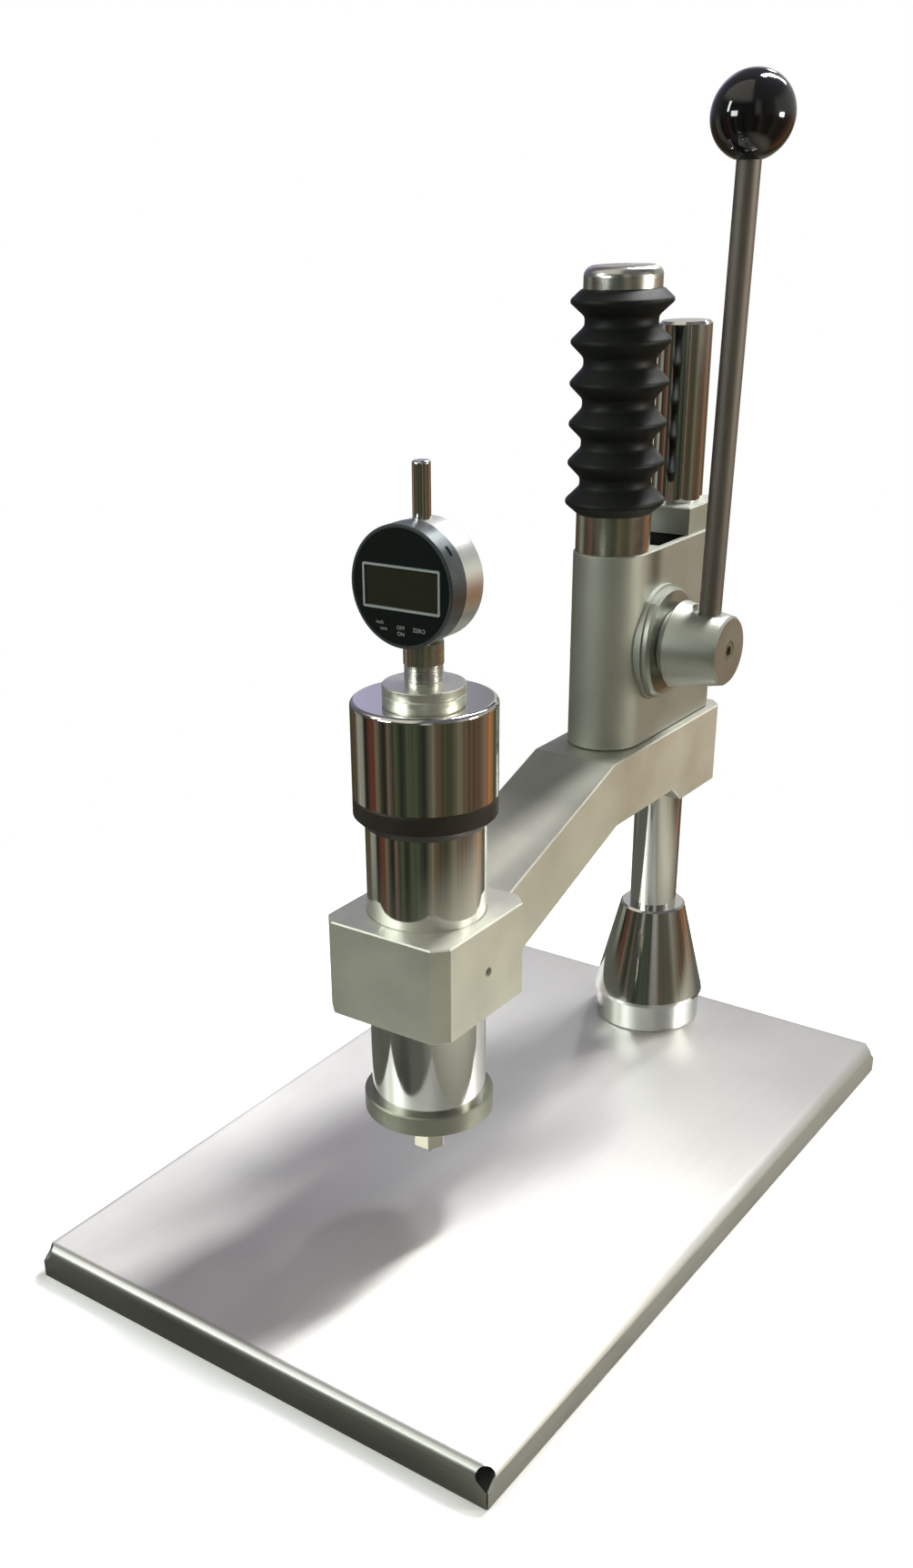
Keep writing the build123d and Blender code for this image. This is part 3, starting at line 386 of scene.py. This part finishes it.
def make_springs():
    ram_spring = coil("ram_spring", RAM_SPRING, BELLOWS_Z0, BELLOWS_Z1, RAM_Y, spring_wire)
    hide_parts("return_spring")
    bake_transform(ram_spring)
    load_spring = coil("load_spring", LOAD_SPRING, HEAD_SPRING_Z0, HEAD_SPRING_Z1, HEAD_Y,
                       spring_wire)
    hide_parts("head_spring")
    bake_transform(load_spring)


# Fine thread on the collet, below the nut
THREAD_R, THREAD_DEPTH, THREAD_PITCH = 0.0089, 0.00035, 0.0009
THREAD_Z0, THREAD_Z1 = 0.3085, 0.3163


def make_thread():
    profile = []
    turns = int((THREAD_Z1 - THREAD_Z0) / THREAD_PITCH)
    for k in range(turns):
        z = THREAD_Z0 + k * THREAD_PITCH
        profile += [(THREAD_R, z), (THREAD_R + THREAD_DEPTH, z + THREAD_PITCH * 0.4),
                    (THREAD_R + THREAD_DEPTH, z + THREAD_PITCH * 0.6), (THREAD_R, z + THREAD_PITCH)]
    profile += [(THREAD_R - 0.0003, THREAD_Z0 + turns * THREAD_PITCH), (THREAD_R - 0.0003, THREAD_Z0)]
    piece = lathe("collet_thread", profile, HEAD_Y, turned, steps=72)
    for face in piece.data.polygons:
        face.use_smooth = False
    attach(piece, "carriage")


# Words on the keys by body: text, place from the dial's centre and height, in millimetres
LABELS = {"mode_button": (("inch", -12.1, -17.0, 1.9), ("mm", -9.9, -19.7, 1.9)),
          "power_button": (("OFF", -0.4, -18.5, 1.9), ("ON", -0.4, -21.3, 1.9)),
          "zero_button": (("ZERO", 9.8, -18.6, 2.0),)}
DIAL_Z, KEY_FACE_Y = 0.3552, -0.08355
FONT_SHARE, INK = 1.35, 0.00004


def make_labels():
    for body, lines in LABELS.items():
        for text, x, z, height in lines:
            curve = bpy.data.curves.new("label", "FONT")
            curve.body = text
            curve.size = height / 1000 * FONT_SHARE
            curve.extrude = INK
            curve.align_x, curve.align_y = "CENTER", "CENTER"
            source = bpy.data.objects.new("label", curve)
            scene.collection.objects.link(source)
            bpy.context.view_layer.update()
            depsgraph = bpy.context.evaluated_depsgraph_get()
            mesh = bpy.data.meshes.new_from_object(source.evaluated_get(depsgraph))
            bpy.data.objects.remove(source)
            turn = Matrix.Translation((x / 1000, KEY_FACE_Y, DIAL_Z + z / 1000)) @ Matrix.Rotation(
                math.radians(90), 4, "X")
            mesh.transform(turn)
            name = "label_" + text.lower()
            mesh.name = name
            mesh.materials.clear()
            mesh.materials.append(label_ink)
            piece = bpy.data.objects.new(name, mesh)
            scene.collection.objects.link(piece)
            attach(piece, body)


# Surroundings that only reflections see, low down, at eye height and above:
# degrees round from the camera's side, colour
CREAM, PALE, SAND = (0.42, 0.40, 0.31), (0.27, 0.28, 0.23), (0.15, 0.135, 0.09)
OLIVE, MOSS, BLACK = (0.055, 0.052, 0.030), (0.060, 0.072, 0.042), (0.018, 0.019, 0.013)
BROWN, RED_BROWN, MAUVE = (0.10, 0.065, 0.038), (0.115, 0.040, 0.026), (0.17, 0.115, 0.09)
TAN, RED, ORANGE = (0.23, 0.15, 0.10), (0.24, 0.045, 0.030), (0.46, 0.24, 0.08)
ROOM = ((-180, SAND), (-158, OLIVE), (-130, BROWN), (-122, PALE), (-109, PALE), (-103, BLACK),
        (-97, BLACK), (-93, RED_BROWN), (-82, RED_BROWN), (-76, SAND), (-70, OLIVE), (-64, BLACK),
        (-60, BLACK), (-56, MAUVE), (-50, OLIVE), (-42, MOSS), (-34, BLACK), (-24, MOSS), (-12, MOSS),
        (2, BLACK), (14, SAND), (22, BROWN), (34, OLIVE), (44, OLIVE), (56, SAND), (72, BROWN),
        (96, BROWN), (108, TAN), (116, RED), (122, ORANGE), (138, OLIVE), (174, CREAM))
WALLS = ((-180, (0.26, 0.26, 0.28)), (-177, (0.40, 0.39, 0.50)), (-172, (0.53, 0.505, 0.73)),
         (-158, (0.20, 0.178, 0.27)), (-130, (0.13, 0.13, 0.14)), (-70, (0.05, 0.06, 0.05)),
         (-6, (0.05, 0.055, 0.045)), (2, (0.42, 0.40, 0.37)), (8, (0.42, 0.40, 0.37)),
         (18, (0.08, 0.08, 0.07)), (46, (0.14, 0.14, 0.12)), (62, (0.43, 0.43, 0.38)),
         (92, (0.40, 0.41, 0.36)), (130, (0.34, 0.36, 0.33)), (172, (0.60, 0.58, 0.56)),
         (180, (0.26, 0.26, 0.28)))
CEILING = ((-180, (0.132, 0.123, 0.155)), (-126, (0.14, 0.13, 0.15)), (-108, (0.66, 0.64, 0.55)),
           (-24, (0.66, 0.64, 0.55)), (-4, (0.13, 0.13, 0.14)), (180, (0.132, 0.123, 0.155)))
BELOW, BACKDROP = (0.12, 0.12, 0.11), (1.0, 1.0, 1.0)
# Sines of the elevations between which one gives way to the next, and the streaks' contrast
TO_WALLS, TO_CEILING, TO_BELOW = (-0.12, 0.10), (0.42, 0.62), (-0.80, -0.92)
STREAKS, STREAK_LOW, STREAK_HIGH = 80.0, 0.35, 1.65


def by_angle(stops):
    return [((angle + 180) / 360, colour) for angle, colour in stops]


def make_world():
    world = bpy.data.worlds.new("room")
    world.use_nodes = True
    scene.world = world
    tree = world.node_tree
    tree.nodes.clear()
    direction = put(tree, "TexCoord").outputs["Generated"]
    facing = math.degrees(math.atan2(CAMERA_AT.y, CAMERA_AT.x))
    turned_way = put(tree, "VectorRotate", {"Vector": direction, "Angle": math.radians(-facing)},
                     rotation_type="Z_AXIS")
    parts = put(tree, "SeparateXYZ", {"Vector": turned_way})
    angle = math_node(tree, "ARCTAN2", parts.outputs[1], parts.outputs[0])
    share = math_node(tree, "ADD", math_node(tree, "DIVIDE", angle, 2 * math.pi), 0.5)
    ripple = put(tree, "CombineXYZ", {0: math_node(tree, "MULTIPLY", share, STREAKS)})
    streaks = put(tree, "TexNoise", {"Vector": ripple, "Scale": 1.0, "Detail": 4.0, "Roughness": 0.7})
    contrast = span(tree, streaks, 0.3, 0.7, STREAK_LOW, STREAK_HIGH)
    low_room = blend_colour(tree, 1.0, ramp(tree, share, by_angle(ROOM)), contrast, "MULTIPLY")
    walls = ramp(tree, share, by_angle(WALLS), "EASE")
    rise = parts.outputs[2]
    seen = blend_colour(tree, span(tree, rise, *TO_WALLS), low_room, walls)
    above = ramp(tree, share, by_angle(CEILING), "EASE")
    seen = blend_colour(tree, span(tree, rise, *TO_CEILING), seen, above)
    seen = blend_colour(tree, span(tree, rise, *TO_BELOW), seen, BELOW)
    is_camera = put(tree, "LightPath").outputs["Is Camera Ray"]
    shown = blend_colour(tree, is_camera, seen, BACKDROP)
    background = put(tree, "Background", {"Color": shown, "Strength": 1.0})
    put(tree, "OutputWorld", {"Surface": background})


# Lights: name, place, target, size, power, colour
LIGHTS = (("key", (0.13, 0.52, 1.20), (0, -0.08, 0.05), (0.10, 0.35), 10.5, (1.0, 0.99, 0.98)),
          ("back", (0.22, 0.93, 1.20), (0, 0.05, 0.05), (0.10, 0.40), 3.2, (1.0, 0.99, 0.98)),
          ("far", (-0.14, 1.12, 1.16), (0, 0.05, 0.05), (0.10, 0.16), 0.9, (1.0, 1.0, 0.98)),
          ("right", (1.15, 0.45, 0.50), (0, 0.05, 0.2), (0.30, 0.14), 6.2, (1.0, 0.94, 0.82)),
          ("left", (-0.75, -0.65, 0.90), (0, 0, 0.2), (0.12, 0.45), 2.0, (0.90, 1.0, 0.94)),
          ("low", (-0.50, -1.00, 0.62), (0, 0, 0.2), (0.40, 0.26), 3.3, (0.94, 1.0, 0.96)))


def make_lights():
    for name, place, target, (width, height), power, colour in LIGHTS:
        lamp = bpy.data.lights.new(name, "AREA")
        lamp.shape = "RECTANGLE"
        lamp.size, lamp.size_y = width, height
        lamp.energy = power
        lamp.color = colour
        holder = bpy.data.objects.new(name, lamp)
        holder.location = place
        aim = Vector(target) - Vector(place)
        holder.rotation_euler = aim.to_track_quat("-Z", "Y").to_euler()
        scene.collection.objects.link(holder)


# Floor: white paper to the camera, lifted beside the base and fading out; a table to reflections
FLOOR_R, FADE_FROM, FADE_TO = 1.2, 0.33, 0.62
PAPER, PAPER_LIFT, LIFT_FROM, LIFT_TO = (0.93, 0.93, 0.925), (0.60, 0.60, 0.60), 0.0, 0.016
TABLE, TABLE_RIGHT, TABLE_X0, TABLE_X1 = (0.10, 0.105, 0.09), (0.44, 0.43, 0.36), 0.10, 0.30


def make_floor():
    steps = 96
    verts = [(0, 0, 0)] + [(FLOOR_R * math.cos(2 * math.pi * k / steps),
                            FLOOR_R * math.sin(2 * math.pi * k / steps), 0) for k in range(steps)]
    faces = [(0, k + 1, (k + 1) % steps + 1) for k in range(steps)]
    mesh = bpy.data.meshes.new("floor")
    mesh.from_pydata(verts, [], faces)
    floor = bpy.data.objects.new("floor", mesh)
    scene.collection.objects.link(floor)
    material, tree, shader = new_material("floor_paper")
    shader.inputs["Base Color"].default_value = (*PAPER, 1.0)
    shader.inputs["Roughness"].default_value = 0.9
    shader.inputs["Specular IOR Level"].default_value = 0.1
    grain = noise(tree, 900)
    relief = put(tree, "Bump", {"Height": grain, "Strength": 0.05, "Distance": 0.0002})
    tree.links.new(relief.outputs[0], shader.inputs["Normal"])
    coords = put(tree, "TexCoord").outputs["Object"]
    reach = put(tree, "VectorMath", {0: coords}, operation="LENGTH").outputs["Value"]
    fade = put(tree, "MapRange", {"Value": reach, "From Min": FADE_FROM, "From Max": FADE_TO},
               interpolation_type="SMOOTHSTEP")
    axes = put(tree, "SeparateXYZ", {"Vector": coords}).outputs
    beside = [math_node(tree, "SUBTRACT", math_node(tree, "ABSOLUTE", axes[i]), cad_box[1][i])
              for i in (0, 1)]
    clear_of_base = span(tree, math_node(tree, "MAXIMUM", *beside), LIFT_FROM, LIFT_TO)
    lift = put(tree, "Emission", {"Color": (*PAPER_LIFT, 1.0), "Strength": clear_of_base})
    lifted = put(tree, "AddShader", {0: shader, 1: lift})
    across = span(tree, axes[0], TABLE_X0, TABLE_X1)
    table = put(tree, "BsdfDiffuse", {"Color": blend_colour(tree, across, TABLE, TABLE_RIGHT)})
    seen = put(tree, "MixShader", {0: put(tree, "LightPath").outputs["Is Camera Ray"], 1: table, 2: lifted})
    clear = put(tree, "BsdfTransparent")
    mixed = put(tree, "MixShader", {0: fade, 1: seen, 2: clear})
    output = next(n for n in tree.nodes if n.bl_idname == "ShaderNodeOutputMaterial")
    tree.links.new(mixed.outputs[0], output.inputs["Surface"])
    mesh.materials.append(material)


def make_camera():
    turn, down, roll = (math.radians(a) for a in (CAMERA_TURN, CAMERA_DOWN, CAMERA_ROLL))
    back = Vector((math.sin(turn) * math.cos(down), -math.cos(turn) * math.cos(down), math.sin(down)))
    level = (-back).cross(Vector((0, 0, 1))).normalized()
    rise = level.cross(-back)
    side = level * math.cos(roll) + rise * math.sin(roll)
    top = rise * math.cos(roll) - level * math.sin(roll)
    data = bpy.data.cameras.new("camera")
    data.sensor_fit = "VERTICAL"
    data.sensor_height = 36.0
    data.lens = FOCAL_PX / PHOTO_H * data.sensor_height
    data.shift_x = (PHOTO_W / 2 - CENTRE_PX[0]) / PHOTO_H
    data.shift_y = (CENTRE_PX[1] - PHOTO_H / 2) / PHOTO_H
    data.clip_start = 0.01
    camera = bpy.data.objects.new("camera", data)
    camera.matrix_world = Matrix.Translation(CAMERA_AT) @ Matrix((side, top, back)).transposed().to_4x4()
    scene.collection.objects.link(camera)
    scene.camera = camera


dress_nodes()
make_bellows()
make_springs()
make_thread()
make_labels()
make_world()
make_lights()
make_floor()
make_camera()
scene.view_settings.view_transform = "Standard"
